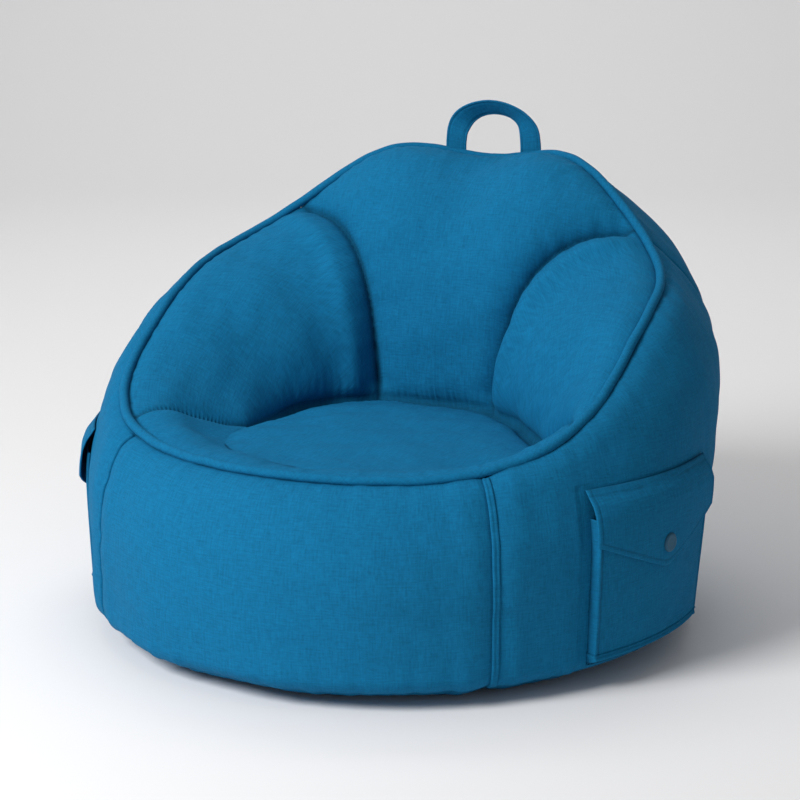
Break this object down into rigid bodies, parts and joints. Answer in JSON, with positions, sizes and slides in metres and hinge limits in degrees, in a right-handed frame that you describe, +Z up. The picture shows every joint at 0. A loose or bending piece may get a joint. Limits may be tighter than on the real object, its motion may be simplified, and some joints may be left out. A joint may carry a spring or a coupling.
{
  "type": "bean bag chair",
  "caption": "Structured child's bean bag chair: a round canvas body with a scooped seat, padded back and arms, piped rim, two flap side pockets, a webbing carry loop and a rear zipper.",
  "frame": {"origin": "on the floor under the middle of the round body", "axes": "X across the chair, the open front faces -Y, Z up"},
  "size_m": [0.706, 0.7137, 0.5338],
  "materials": {
    "cover_canvas": "matt woven canvas",
    "webbing": "woven webbing",
    "snap": "satin",
    "zipper_tape": "fine twill tape",
    "zipper_coil": "nylon coil",
    "slider_metal": "dull metal",
    "liner": "plain nonwoven",
    "beads": "expanded beads"
  },
  "bodies": {
    "bag": {"seat_panel": "cover_canvas", "inner_back_panel": "cover_canvas", "left_arm_panel": "cover_canvas", "right_arm_panel": "cover_canvas", "front_panel": "cover_canvas", "left_side_panel": "cover_canvas", "right_side_panel": "cover_canvas", "rear_panel": "cover_canvas", "base_panel": "cover_canvas", "left_pocket": "cover_canvas", "right_pocket": "cover_canvas", "rim_piping": "cover_canvas", "front_left_welt": "cover_canvas", "front_right_welt": "cover_canvas", "rear_left_welt": "cover_canvas", "rear_right_welt": "cover_canvas", "left_snap_stud": "snap", "right_snap_stud": "snap", "zipper_tapes": "zipper_tape", "zipper_coil": "zipper_coil", "liner_bag": "liner", "bead_fill": "beads"},
    "right_flap": {"right_pocket_flap": "cover_canvas", "right_snap_cap": "snap", "right_snap_socket": "snap"},
    "left_flap": {"left_pocket_flap": "cover_canvas", "left_snap_cap": "snap", "left_snap_socket": "snap"},
    "handle": {"carry_handle": "webbing"},
    "zip_slider": {"zipper_slider": "slider_metal"}
  },
  "joints": [
    {"name": "right_flap_hinge", "type": "hinge", "parent": "bag", "child": "right_flap", "pos_m": [0.32775, -0.08782, 0.206], "axis": [-0.2588, -0.9659, 0], "range_deg": [0, 150]},
    {"name": "left_flap_hinge", "type": "hinge", "parent": "bag", "child": "left_flap", "pos_m": [-0.32775, -0.08782, 0.206], "axis": [-0.2588, 0.9659, 0], "range_deg": [0, 150]},
    {"name": "handle_fold", "type": "hinge", "parent": "bag", "child": "handle", "pos_m": [0, 0.243, 0.4712], "axis": [-1, 0, 0], "range_deg": [-20, 75], "stiffness_Nm_per_rad": 0.02},
    {"name": "zipper_run", "type": "hinge", "parent": "bag", "child": "zip_slider", "pos_m": [0, -0.03686, 0.062], "axis": [0, 0, 1], "range_deg": [0, 58]}
  ]
}
